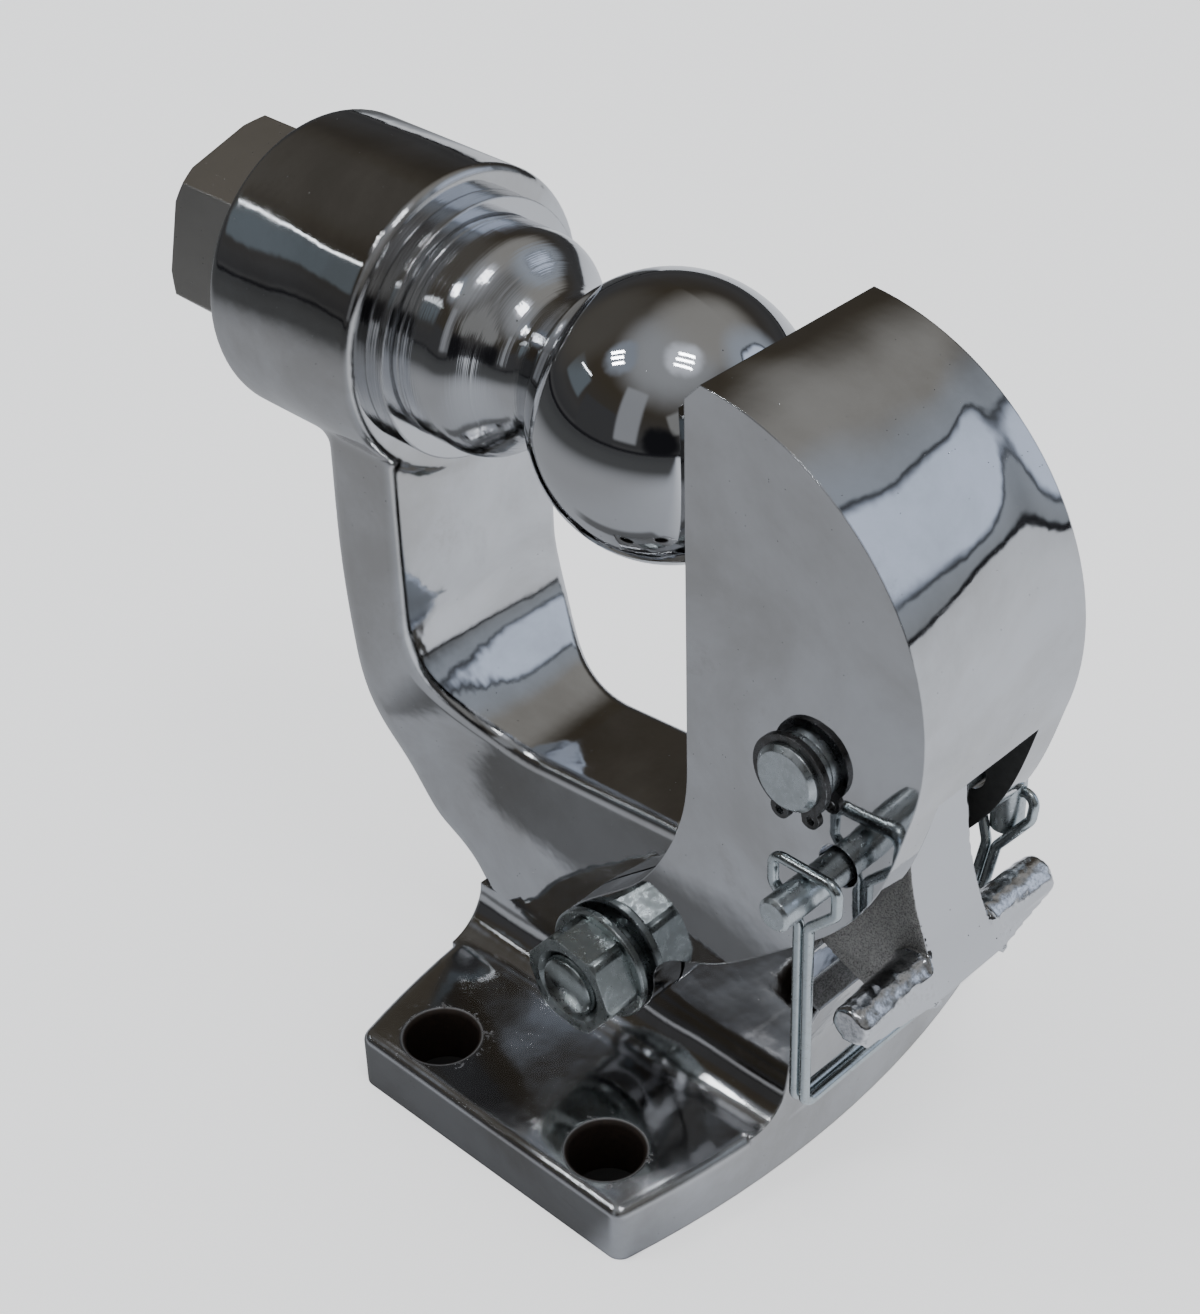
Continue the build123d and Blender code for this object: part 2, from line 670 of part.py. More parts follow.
def wire_bail():
    """Doubled spring wire: from the pin's tail, under the hook and up to a loop over the pin's tip."""
    radius = lock_pin_diameter / 2
    tail_y = half_jaw + lock_pin_tail_gap + radius
    hole_z = lock_pin_z - lock_pin_tail_length + bail_hole_up
    close = (bail_wire + bail_wire_gap) / 2
    wide = radius + bail_bend_radius + side_gap
    top_z = lock_pin_z + radius + side_gap + bail_wire / 2
    lean = bail_far_foot_y - tail_y
    low_z = hole_z - bail_merge_drop
    low_y = tail_y + lean * (hole_z - low_z) / (hole_z - bail_bottom_z)
    half_path = [
        (radius * bail_end_share, tail_y, hole_z),
        (wide, tail_y, hole_z),
        (wide, tail_y - bail_wire / 2, hole_z - bail_shoulder_drop),
        (close, low_y, low_z),
        (close, bail_far_foot_y, bail_bottom_z),
        (close, -bail_near_leg_y, bail_bottom_z),
        (close, -bail_near_leg_y, bail_loop_low_z),
        (bail_loop_half_width, -bail_near_leg_y, bail_loop_side_z),
        (bail_loop_half_width, -bail_near_leg_y, top_z),
    ]
    other_half = [(-x, y, z) for x, y, z in reversed(half_path)]
    points = [(lock_pin_x + x, y, z) for x, y, z in half_path + other_half]
    path = FilletPolyline(*points, radius=bail_bend_radius)
    return sweep(Plane(origin=path @ 0, z_dir=path % 0) * Circle(bail_wire / 2), path=path)


parts = {
    "hook_body": hook_body,
    "tow_ball": tow_ball,
    "ball_nut": ball_nut,
    "jaw": jaw,
    "pivot_sleeve": pivot_sleeve,
    "pivot_washer_near": lambda: pivot_washer(-1),
    "pivot_washer_far": lambda: pivot_washer(1),
    "pivot_nut": pivot_nut,
    "pivot_bolt": pivot_bolt,
    "latch_pin": latch_pin,
    "latch_pin_ring_near": lambda: latch_pin_ring(-1),
    "latch_pin_ring_far": lambda: latch_pin_ring(1),
    "latch_handle": latch_handle,
    "latch_spring": latch_spring,
    "lock_pin": lock_pin,
    "wire_bail": wire_bail,
}

if __name__ == "__main__":
    os.makedirs("parts", exist_ok=True)
    for name, build in parts.items():
        export_step(build(), os.path.join("parts", name + ".step"))
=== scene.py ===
import json
from math import cos, exp, pi, radians, sin, tan

import bmesh
import bpy
from mathutils import Matrix, Vector, noise as random_noise


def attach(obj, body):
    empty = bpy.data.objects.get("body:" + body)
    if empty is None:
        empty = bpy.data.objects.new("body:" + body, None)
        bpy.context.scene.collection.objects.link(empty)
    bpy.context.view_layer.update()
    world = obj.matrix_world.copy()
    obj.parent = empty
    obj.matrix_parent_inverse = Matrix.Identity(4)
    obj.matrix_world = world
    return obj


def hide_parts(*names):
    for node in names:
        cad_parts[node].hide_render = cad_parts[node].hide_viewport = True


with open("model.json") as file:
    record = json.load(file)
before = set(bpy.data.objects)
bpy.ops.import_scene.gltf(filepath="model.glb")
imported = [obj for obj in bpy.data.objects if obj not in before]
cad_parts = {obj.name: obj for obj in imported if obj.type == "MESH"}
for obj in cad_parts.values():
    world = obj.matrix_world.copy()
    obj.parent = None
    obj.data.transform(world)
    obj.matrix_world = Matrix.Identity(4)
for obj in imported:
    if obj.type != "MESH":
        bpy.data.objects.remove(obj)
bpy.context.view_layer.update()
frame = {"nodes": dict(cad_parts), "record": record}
nodes = frame["nodes"]
MM = 0.001

# Places on the hook that its own materials and pieces need, in metres.
# The hole's centre is in one corner of the plate, and the other three mirror it.
BOLT_HOLE = (22.225 * MM, 42.86 * MM)
BOLT_HOLE_RADIUS = 7.15 * MM
HALF_PLATE = (34.0 * MM, 50.0 * MM)
PLATE_TOP = 12.7 * MM
PIVOT = Vector((3.2 * MM, 0, 34.9 * MM))
# The centre that the jaw's shell curves round, its mouth's height and the inner side of its cheeks
JAW_ARC = Vector((21.0 * MM, 0, 118.9 * MM))
JAW_MOUTH = 160.0 * MM
CHEEK_INSIDE = 13.75 * MM
# The ball's polished part ends here, and its neck begins
BALL_NECK_X = -21.5 * MM
# The latch: half its width, its round handle's centre line, and the length of a stub
HALF_LATCH = 8.2 * MM
HANDLE = Vector((65.5 * MM, 0, 61.0 * MM))
STUB_LENGTH = 19.0 * MM
# Where the ground outer face looks, and the heights between which the handle flows into it
GROUND_WAY = Vector((0.985, 0, -0.17))
HEEL_JOIN = (60.5 * MM, 71.5 * MM)
# Stations along the heel's ground face: y, then x and z of its top and of its lower edge, in mm
GROUND_FACE = (
    (-26.8, 68.6, 62.9, 69.1, 57.6), (-8.8, 69.3, 63.4, 71.2, 58.0), (-8.1, 66.15, 69.4, 71.4, 58.0),
    (8.1, 66.15, 69.4, 71.4, 58.0), (8.8, 69.3, 63.4, 71.2, 58.0), (26.8, 68.3, 62.9, 68.7, 57.6),
)
# A shallow groove along the latch's sides: its height, and the x where it ends
SIDE_GROOVE = (54.5 * MM, 57.0 * MM)


# Shader helpers


def new_material(name):
    """An empty node material with its Principled BSDF, ready to be wired."""
    material = bpy.data.materials.new(name)
    material.use_nodes = True
    tree = material.node_tree
    return material, tree, tree.nodes["Principled BSDF"]


def add(tree, kind, **settings):
    """A node of that kind with its properties set."""
    node = tree.nodes.new(kind)
    for name, value in settings.items():
        setattr(node, name, value)
    return node


def put(node, **values):
    """Values for a node's inputs, by socket name with underscores for spaces."""
    for name, value in values.items():
        node.inputs[name.replace("_", " ")].default_value = value
    return node


def feed(tree, socket, value):
    """A link where the value is a socket, and a plain setting where it's a number or a colour."""
    if isinstance(value, bpy.types.NodeSocket):
        tree.links.new(value, socket)
    else:
        socket.default_value = value


def group(name, inputs, outputs):
    """A new node group with named sockets: inputs {name: default}, outputs {name: kind}."""
    tree = bpy.data.node_groups.new(name, "ShaderNodeTree")
    for label, default in inputs.items():
        kind = "NodeSocketVector" if default is None else "NodeSocketFloat"
        socket = tree.interface.new_socket(label, in_out="INPUT", socket_type=kind)
        if default is not None:
            socket.default_value = default
    for label, kind in outputs.items():
        tree.interface.new_socket(label, in_out="OUTPUT", socket_type="NodeSocket" + kind)
    return tree, tree.nodes.new("NodeGroupInput"), tree.nodes.new("NodeGroupOutput")


def math(tree, operation, a, b=0.5, clamp=False):
    """A Math node; a and b are sockets or numbers."""
    node = add(tree, "ShaderNodeMath", operation=operation, use_clamp=clamp)
    feed(tree, node.inputs[0], a)
    feed(tree, node.inputs[1], b)
    return node.outputs[0]


def remap(tree, value, low, high, to_low=0.0, to_high=1.0):
    """A smooth Map Range node."""
    node = add(tree, "ShaderNodeMapRange", interpolation_type="SMOOTHSTEP")
    for name, number in (("From Min", low), ("From Max", high), ("To Min", to_low), ("To Max", to_high)):
        feed(tree, node.inputs[name], number)
    feed(tree, node.inputs["Value"], value)
    return node.outputs["Result"]


def noise(tree, vector, scale, detail=3.0, roughness=0.5, distortion=0.0):
    """A noise pattern's value."""
    node = add(tree, "ShaderNodeTexNoise")
    put(node, Detail=detail, Roughness=roughness, Distortion=distortion)
    feed(tree, node.inputs["Scale"], scale)
    feed(tree, node.inputs["Vector"], vector)
    return node.outputs["Fac"]


def cells(tree, vector, scale):
    """A Voronoi pattern: distance to the nearest point, and that cell's random colour."""
    node = add(tree, "ShaderNodeTexVoronoi", feature="F1")
    feed(tree, node.inputs["Scale"], scale)
    feed(tree, node.inputs["Vector"], vector)
    return node.outputs["Distance"], node.outputs["Color"]


def stretch(tree, vector, scale, turn=(0, 0, 0)):
    """A vector scaled and turned by a Mapping node."""
    node = add(tree, "ShaderNodeMapping")
    feed(tree, node.inputs["Vector"], vector)
    node.inputs["Scale"].default_value = scale
    node.inputs["Rotation"].default_value = turn
    return node.outputs["Vector"]


def parts_of(tree, vector):
    """A vector's three components."""
    node = add(tree, "ShaderNodeSeparateXYZ")
    feed(tree, node.inputs[0], vector)
    return node.outputs


def side_distance(tree, place, centre):
    """Distance from a line along Y through that centre."""
    split = parts_of(tree, place)
    squares = [
        math(tree, "POWER", math(tree, "SUBTRACT", split[i], centre[i]), 2.0) for i in (0, 2)
    ]
    return math(tree, "SQRT", math(tree, "ADD", *squares))


def dot(tree, vector, way):
    """Dot product of a vector with a fixed one."""
    node = add(tree, "ShaderNodeVectorMath", operation="DOT_PRODUCT")
    feed(tree, node.inputs[0], vector)
    node.inputs[1].default_value = way
    return node.outputs["Value"]


def product(tree, *masks):
    """Masks multiplied together."""
    result = masks[0]
    for mask in masks[1:]:
        result = math(tree, "MULTIPLY", result, mask)
    return result


def mix_colour(tree, factor, a, b):
    """A blend of two colours."""
    node = add(tree, "ShaderNodeMix", data_type="RGBA")
    feed(tree, node.inputs["Factor"], factor)
    feed(tree, node.inputs[6], a)
    feed(tree, node.inputs[7], b)
    return node.outputs[2]


def blend_of(tree, a, b):
    """One mask laid over another, without going past one."""
    return math(tree, "MAXIMUM", a, b)


# Shared groups


def edge_wear_group():
    """Mask of the outer edges, broken up by noise, and the rounded normal that softens them."""
    tree, given, out = group(
        "edge_wear",
        {"Vector": None, "Radius": 0.0008, "Amount": 0.6, "Scale": 300.0},
        {"Mask": "Float", "Normal": "Vector"},
    )
    bevel = add(tree, "ShaderNodeBevel", samples=4)
    feed(tree, bevel.inputs["Radius"], given.outputs["Radius"])
    geometry = add(tree, "ShaderNodeNewGeometry")
    facing = add(tree, "ShaderNodeVectorMath", operation="DOT_PRODUCT")
    feed(tree, facing.inputs[0], bevel.outputs["Normal"])
    feed(tree, facing.inputs[1], geometry.outputs["Normal"])
    edge = remap(tree, facing.outputs["Value"], 0.995, 0.9)
    speckle = noise(tree, given.outputs["Vector"], given.outputs["Scale"], detail=4.0, roughness=0.65)
    broken = remap(tree, speckle, 0.42, 0.6)
    worn = math(tree, "MULTIPLY", product(tree, edge, broken), given.outputs["Amount"], clamp=True)
    feed(tree, out.inputs["Mask"], worn)
    feed(tree, out.inputs["Normal"], bevel.outputs["Normal"])
    return tree


def smudge_group():
    """Mask of hazy fingermarks: large cloudy patches broken by fine grain."""
    tree, given, out = group(
        "smudges", {"Vector": None, "Scale": 30.0, "Spread": 0.5}, {"Mask": "Float", "Grain": "Float"}
    )
    place, scale = given.outputs["Vector"], given.outputs["Scale"]
    cloud = noise(tree, place, scale, detail=6.0, roughness=0.62, distortion=0.6)
    low = math(tree, "SUBTRACT", 0.72, product(tree, given.outputs["Spread"], 0.4))
    mask = remap(tree, cloud, low, math(tree, "ADD", low, 0.22))
    fine = noise(tree, place, product(tree, scale, 24.0), detail=4.0, roughness=0.7)
    feed(tree, out.inputs["Mask"], mask)
    feed(tree, out.inputs["Grain"], remap(tree, fine, 0.3, 0.75))
    return tree


def waves_group():
    """Height of a hand-polished surface: long soft waves with a little orange peel."""
    tree, given, out = group(
        "polish_waves", {"Vector": None, "Scale": 18.0, "Peel": 0.06}, {"Height": "Float"}
    )
    place, scale = given.outputs["Vector"], given.outputs["Scale"]
    long_wave = noise(tree, place, scale, detail=1.0, roughness=0.4, distortion=0.5)
    peel = noise(tree, place, product(tree, scale, 9.0), detail=2.0)
    height = math(tree, "ADD", long_wave, product(tree, peel, given.outputs["Peel"]))
    feed(tree, out.inputs["Height"], height)
    return tree


def pits_group():
    """Mask of small pits: round dots in a few cells only, thickest where the polish is thin."""
    tree, given, out = group(
        "pits", {"Vector": None, "Scale": 900.0, "Amount": 0.2, "Size": 0.16}, {"Mask": "Float"}
    )
    place, size = given.outputs["Vector"], given.outputs["Size"]
    distance, colour = cells(tree, place, given.outputs["Scale"])
    round_dot = remap(tree, distance, size, product(tree, size, 0.4))
    chance = add(tree, "ShaderNodeSeparateColor")
    feed(tree, chance.inputs[0], colour)
    thick = remap(tree, noise(tree, place, 55.0, roughness=0.6), 0.35, 0.75, to_low=0.2, to_high=1.6)
    chosen = math(tree, "LESS_THAN", chance.outputs[0], product(tree, thick, given.outputs["Amount"]))
    feed(tree, out.inputs["Mask"], product(tree, round_dot, chosen))
    return tree


def hairline_group():
    """Mask of a few thin handling scratches that run two ways."""
    tree, given, out = group(
        "hairlines", {"Vector": None, "Scale": 22.0, "Amount": 0.5}, {"Mask": "Float"}
    )
    place = given.outputs["Vector"]
    # How each set of lines is stretched and turned, and the scale of the patches that show it
    ways = (((1, 26, 26), (0.3, 0.5, 0.9), 38.0), ((26, 1, 26), (0.7, -0.4, 0.35), 51.0))
    scratches = []
    for long_way, turn, patch_scale in ways:
        stretched = stretch(tree, place, long_way, turn)
        lines = noise(tree, stretched, given.outputs["Scale"], detail=1.0, roughness=0.4)
        where = noise(tree, place, patch_scale, detail=2.0)
        scratches.append(product(tree, remap(tree, lines, 0.70, 0.76), remap(tree, where, 0.5, 0.62)))
    mask = math(tree, "MULTIPLY", blend_of(tree, *scratches), given.outputs["Amount"], clamp=True)
    feed(tree, out.inputs["Mask"], mask)
    return tree


def crystal_group():
    """Plating crystals and patches of darker passivation, from 0 to 1."""
    tree, given, out = group(
        "zinc_crystals", {"Vector": None, "Scale": 1400.0}, {"Grain": "Float", "Patch": "Float"}
    )
    place, scale = given.outputs["Vector"], given.outputs["Scale"]
    tone = add(tree, "ShaderNodeSeparateColor")
    feed(tree, tone.inputs[0], cells(tree, place, scale)[1])
    fine = noise(tree, place, product(tree, scale, 0.9), roughness=0.7)
    grain = math(tree, "ADD", product(tree, tone.outputs[0], 0.3), product(tree, fine, 0.7))
    feed(tree, out.inputs["Grain"], grain)
    patch = noise(tree, place, product(tree, scale, 0.12), detail=5.0, roughness=0.65, distortion=0.4)
    feed(tree, out.inputs["Patch"], remap(tree, patch, 0.4, 0.66))
    return tree


def rough_cast_group():
    """Height and hollows of a surface left as cast."""
    tree, given, out = group(
        "rough_cast", {"Vector": None, "Scale": 900.0}, {"Height": "Float", "Hollow": "Float"}
    )
    place, scale = given.outputs["Vector"], given.outputs["Scale"]
    lumps = noise(tree, place, scale, detail=5.0, roughness=0.68, distortion=0.3)
    grains = cells(tree, place, product(tree, scale, 0.7))[0]
    height = math(tree, "ADD", lumps, product(tree, grains, 0.35))
    feed(tree, out.inputs["Height"], height)
    feed(tree, out.inputs["Hollow"], remap(tree, height, 0.78, 0.52))
    return tree


EDGE = edge_wear_group()
SMUDGE = smudge_group()
WAVES = waves_group()
PITS = pits_group()
HAIRLINES = hairline_group()
CRYSTALS = crystal_group()
ROUGH_CAST = rough_cast_group()


def use(tree, shared, vector, **values):
    """A shared group placed in a material, reading that vector."""
    node = add(tree, "ShaderNodeGroup")
    node.node_tree = shared
    feed(tree, node.inputs["Vector"], vector)
    return put(node, **values)


def bump(tree, height, distance, normal=None):
    """A Bump node's normal."""
    node = add(tree, "ShaderNodeBump")
    node.inputs["Distance"].default_value = distance
    feed(tree, node.inputs["Height"], height)
    if normal is not None:
        feed(tree, node.inputs["Normal"], normal)
    return node.outputs["Normal"]


# Stains and painted shade that belong to one place


def bolt_hole_rust_and_shade(tree, place):
    """Rust and painted shade in the four bolt holes, and flecks of rust round their rims."""
    split = parts_of(tree, place)
    squares = []
    for i, centre in enumerate(BOLT_HOLE):
        off = math(tree, "SUBTRACT", math(tree, "ABSOLUTE", split[i]), centre)
        squares.append(math(tree, "POWER", off, 2.0))
    away = math(tree, "SQRT", math(tree, "ADD", *squares))
    on_plate = math(tree, "LESS_THAN", split[2], PLATE_TOP + 1.0 * MM)
    # The hole walls get rust and painted shade; the flecks round the rims are rust only
    wall = remap(tree, away, BOLT_HOLE_RADIUS + 1.2 * MM, BOLT_HOLE_RADIUS + 0.4 * MM)
    flecks = remap(tree, noise(tree, place, 420.0, detail=5.0, roughness=0.7), 0.55, 0.68)
    rim = product(tree, remap(tree, away, BOLT_HOLE_RADIUS + 4.5 * MM, BOLT_HOLE_RADIUS), flecks)
    return product(tree, blend_of(tree, wall, rim), on_plate)


def inside_jaw(tree, place):
    """The jaw's inner faces, between the cheeks and under the shell, which the jaw's finish makes darker.
    """
    split = parts_of(tree, place)
    facing = parts_of(tree, add(tree, "ShaderNodeTexCoord").outputs["Normal"])
    parts = [product(tree, math(tree, "SUBTRACT", split[i], JAW_ARC[i]), facing[i]) for i in (0, 2)]
    outward = math(tree, "ADD", *parts)
    between = math(tree, "LESS_THAN", math(tree, "ABSOLUTE", split[1]), CHEEK_INSIDE)
    looks_inward = math(tree, "LESS_THAN", outward, 6.0 * MM)
    below_mouth = math(tree, "LESS_THAN", split[2], JAW_MOUTH)
    return product(tree, between, looks_inward, below_mouth)


def plate_and_foot(tree, place):
    """The plate, where the polish is thinner and hazy in patches."""
    low = remap(tree, parts_of(tree, place)[2], 18.0 * MM, 13.0 * MM)
    patches = remap(tree, noise(tree, place, 34.0, roughness=0.55), 0.3, 0.7, to_low=0.55)
    return product(tree, low, patches)


def ball_neck(tree, place):
    """The ball's neck, bell and flange, turned but not mirror-polished."""
    blend = 1.5 * MM
    return remap(tree, parts_of(tree, place)[0], BALL_NECK_X + blend, BALL_NECK_X - blend)


def near_pivot(tree, place):
    """The bolt, nut and washers of the pivot, whose plating has dulled."""
    return remap(tree, side_distance(tree, place, PIVOT), 21.0 * MM, 17.0 * MM)


# Finishes

PIT_IN_CHROME = (0.03, 0.028, 0.026, 1)
PIT_IN_PLATING = (0.05, 0.045, 0.04, 1)
WORN_CHROME = (0.2, 0.17, 0.14, 1)
RUBBED_ZINC = (0.72, 0.74, 0.76, 1)
DULL_ZINC = (0.26, 0.285, 0.28, 1)
# The latch: sandy casting and its hollows, bright stubs and the painted shade in theirs
SAND = (0.47, 0.46, 0.44, 1)
SAND_HOLLOW = (0.035, 0.032, 0.028, 1)
BRIGHT_STUB = (0.66, 0.67, 0.69, 1)
STUB_HOLLOW_SHADE = (0.08, 0.08, 0.08, 1)


def polished(
    name, base, dull, rough=0.05, haze=0.12, wave=0.0006, wave_scale=18.0, peel=0.06, pits=0.1,
    pit_scale=900.0, smudge_scale=30.0, smudge=0.4, edge=0.0006, wear=0.4, hairlines=0.15, cloud=0.35,
    stain_and_shade=None, stain_and_shade_colours=None, satin=None, satin_rough=0.12, turned=0.0,
):
    """Mirror-polished chrome with waves, smudges, pits, hairlines and worn edges."""
    material, tree, shader = new_material(name)
    place = add(tree, "ShaderNodeTexCoord").outputs["Object"]
    worn = use(tree, EDGE, place, Radius=edge, Amount=wear, Scale=300.0)
    marks = use(tree, SMUDGE, place, Scale=smudge_scale, Spread=smudge)
    waves = use(tree, WAVES, place, Scale=wave_scale, Peel=peel)
    pit = use(tree, PITS, place, Scale=pit_scale, Amount=pits).outputs["Mask"]
    scratch = use(tree, HAIRLINES, place, Amount=hairlines).outputs["Mask"]
    grainy = math(tree, "ADD", 0.5, product(tree, marks.outputs["Grain"], 0.5))
    film = product(tree, marks.outputs["Mask"], grainy)
    fog = noise(tree, place, 26.0, detail=6.0, roughness=0.62, distortion=0.3)
    clouds = remap(tree, fog, 0.35, 0.68, to_high=cloud)
    colour = mix_colour(tree, blend_of(tree, clouds, product(tree, film, 0.5)), base, dull)
    colour = mix_colour(tree, pit, colour, PIT_IN_CHROME)
    colour = mix_colour(tree, product(tree, worn.outputs["Mask"], 0.5), colour, WORN_CHROME)
    level = math(tree, "ADD", rough, product(tree, film, haze))
    hazy = [(pit, 0.4), (scratch, 0.22), (worn.outputs["Mask"], 0.2)]
    if satin is not None:
        hazy.append((satin(tree, place), satin_rough))
    for mask, amount in hazy:
        level = math(tree, "ADD", level, product(tree, mask, amount), clamp=True)
    metallic = 1.0
    # A mask darkens its place: rust and painted shade in the plate's bolt holes, darker inner faces on the
    # jaw
    if stain_and_shade is not None:
        stain_and_shade_mask = stain_and_shade(tree, place)
        mottled = mix_colour(tree, noise(tree, place, 700.0, detail=4.0, roughness=0.7), *stain_and_shade_colours)
        colour = mix_colour(tree, stain_and_shade_mask, colour, mottled)
        level = math(tree, "ADD", level, product(tree, stain_and_shade_mask, 0.55), clamp=True)
        metallic = math(tree, "SUBTRACT", 1.0, product(tree, stain_and_shade_mask, 0.7))
    feed(tree, shader.inputs["Base Color"], colour)
    feed(tree, shader.inputs["Roughness"], level)
    feed(tree, shader.inputs["Metallic"], metallic)
    normal = bump(tree, waves.outputs["Height"], wave, worn.outputs["Normal"])
    normal = bump(tree, pit, -0.06 * MM, normal)
    if turned:
        rings = noise(tree, stretch(tree, place, (1, 0.001, 0.001)), 1500.0, roughness=0.6)
        normal = bump(tree, product(tree, rings, satin(tree, place)), turned, normal)
    feed(tree, shader.inputs["Normal"], normal)
    return material


def zinc(
    name, bright, dark, rough=0.26, crystal=5200.0, patch_colour=(0.3, 0.3, 0.24, 1), patches=0.3,
    wear=0.6, edge=0.0003, dulled=None,
):
    """Satin zinc plating: fine crystals, darker patches, brighter rubbed edges."""
    material, tree, shader = new_material(name)
    place = add(tree, "ShaderNodeTexCoord").outputs["Object"]
    worn = use(tree, EDGE, place, Radius=edge, Amount=wear, Scale=900.0)
    plating = use(tree, CRYSTALS, place, Scale=crystal)
    grain, patch = plating.outputs["Grain"], plating.outputs["Patch"]
    pit = use(tree, PITS, place, Scale=1500.0, Amount=0.1, Size=0.2).outputs["Mask"]
    colour = mix_colour(tree, grain, dark, bright)
    colour = mix_colour(tree, product(tree, patch, patches), colour, patch_colour)
    if dulled is not None:
        uneven = noise(tree, place, 260.0, detail=4.0, roughness=0.6)
        tarnish = remap(tree, uneven, 0.3, 0.7, to_low=0.7, to_high=0.95)
        colour = mix_colour(tree, product(tree, dulled(tree, place), tarnish), colour, DULL_ZINC)
    colour = mix_colour(tree, product(tree, pit, 0.7), colour, PIT_IN_PLATING)
    colour = mix_colour(tree, worn.outputs["Mask"], colour, RUBBED_ZINC)
    feed(tree, shader.inputs["Base Color"], colour)
    level = math(tree, "ADD", rough, product(tree, patch, 0.14))
    level = math(tree, "ADD", level, product(tree, pit, 0.25), clamp=True)
    feed(tree, shader.inputs["Roughness"], level)
    shader.inputs["Metallic"].default_value = 1.0
    feed(tree, shader.inputs["Normal"], bump(tree, grain, 0.0025 * MM, worn.outputs["Normal"]))
    return material


def latch_finish():
    """As-cast metal under chrome: rough grey sides, ground outer face, bright wrinkled handle stubs."""
    material, tree, shader = new_material("latch_cast")
    texture = add(tree, "ShaderNodeTexCoord")
    place, facing = texture.outputs["Object"], texture.outputs["Normal"]
    across = math(tree, "ABSOLUTE", parts_of(tree, place)[1])
    side = remap(tree, math(tree, "ABSOLUTE", parts_of(tree, facing)[1]), 0.55, 0.8)
    ground = remap(tree, dot(tree, facing, GROUND_WAY), 0.78, 0.92)
    inner = math(tree, "LESS_THAN", dot(tree, facing, GROUND_WAY), 0.1)
    on_body = math(tree, "LESS_THAN", across, HALF_LATCH + 0.6 * MM)
    raw = product(tree, blend_of(tree, side, inner), on_body)
    beyond_body = remap(tree, across, HALF_LATCH, HALF_LATCH + 2.0 * MM)
    stub = product(tree, beyond_body, math(tree, "SUBTRACT", 1.0, ground))
    wrinkles = use(tree, ROUGH_CAST, place, Scale=1500.0)
    sand = use(tree, ROUGH_CAST, place, Scale=4300.0)
    pit = use(tree, PITS, place, Scale=700.0, Amount=0.22, Size=0.14).outputs["Mask"]
    waves = use(tree, WAVES, place, Scale=60.0, Peel=0.1)
    sandy = mix_colour(tree, product(tree, sand.outputs["Hollow"], 0.7), SAND, SAND_HOLLOW)
    shine = mix_colour(tree, stub, CHROME, BRIGHT_STUB)
    colour = mix_colour(tree, raw, shine, sandy)
    # Painted shade in the hollows of the stubs' wrinkles
    hollow = product(tree, stub, wrinkles.outputs["Hollow"], 0.35)
    colour = mix_colour(tree, hollow, colour, STUB_HOLLOW_SHADE)
    colour = mix_colour(tree, pit, colour, PIT_IN_PLATING)
    feed(tree, shader.inputs["Base Color"], colour)
    level = math(tree, "ADD", 0.06, product(tree, raw, 0.32))
    level = math(tree, "ADD", level, product(tree, stub, 0.02))
    level = math(tree, "ADD", level, product(tree, pit, 0.3), clamp=True)
    feed(tree, shader.inputs["Roughness"], level)
    shader.inputs["Metallic"].default_value = 1.0
    wrinkled = product(tree, wrinkles.outputs["Height"], product(tree, stub, 0.12))
    relief = math(tree, "ADD", wrinkled, product(tree, sand.outputs["Height"], raw, 0.6))
    grain = bump(tree, relief, 0.4 * MM)
    feed(tree, shader.inputs["Normal"], bump(tree, waves.outputs["Height"], 0.3 * MM, grain))
    return material


CHROME = (0.60, 0.61, 0.63, 1)
CHROME_FILM = (0.33, 0.315, 0.29, 1)
# Rust, with painted shade on the bolt holes' walls
RUST_AND_HOLE_SHADE = ((0.006, 0.005, 0.004, 1), (0.04, 0.022, 0.013, 1))
# Darker colours for the jaw's inner faces
DARK_JAW_INSIDE = ((0.016, 0.016, 0.016, 1), (0.05, 0.05, 0.048, 1))
looks = {
    "body_chrome": polished(
        "body_chrome", CHROME, CHROME_FILM, wave=0.0028, peel=0.02, cloud=0.5, pits=0.05,
        pit_scale=1300.0, edge=0.0009, wear=0.3, smudge=0.5, stain_and_shade=bolt_hole_rust_and_shade, stain_and_shade_colours=RUST_AND_HOLE_SHADE,
        satin=plate_and_foot, satin_rough=0.06,
    ),
    "ball_chrome": polished(
        "ball_chrome", CHROME, CHROME_FILM, rough=0.025, wave=0.0001, pits=0.02, smudge=0.2, cloud=0.15,
        satin=ball_neck, satin_rough=0.075, turned=0.00006,
    ),
    "jaw_chrome": polished(
        "jaw_chrome", CHROME, CHROME_FILM, wave=0.0055, wave_scale=17.0, peel=0.006, cloud=0.45,
        pits=0.04, pit_scale=1500.0, edge=0.0004, wear=0.1, smudge=0.55, stain_and_shade=inside_jaw,
        stain_and_shade_colours=DARK_JAW_INSIDE,
    ),
    "nut_satin": polished(
        "nut_satin", (0.78, 0.76, 0.73, 1), (0.52, 0.50, 0.47, 1), rough=0.28, wave=0.0001, pits=0.2,
        pit_scale=1100.0,
    ),
    "zinc_plate": zinc(
        "zinc_plate", (0.58, 0.62, 0.64, 1), (0.44, 0.48, 0.50, 1), patches=0.12, dulled=near_pivot
    ),
    "zinc_wire": zinc(
        "zinc_wire", (0.56, 0.61, 0.63, 1), (0.44, 0.49, 0.51, 1), rough=0.16, patches=0.15, wear=0.1
    ),
    "ring_steel": zinc(
        "ring_steel", (0.15, 0.15, 0.15, 1), (0.055, 0.055, 0.057, 1),
        patch_colour=(0.08, 0.072, 0.062, 1), wear=0.35,
    ),
    "spring_steel": zinc("spring_steel", (0.32, 0.32, 0.31, 1), (0.2, 0.2, 0.19, 1), rough=0.3),
    "latch_cast": latch_finish(),
}
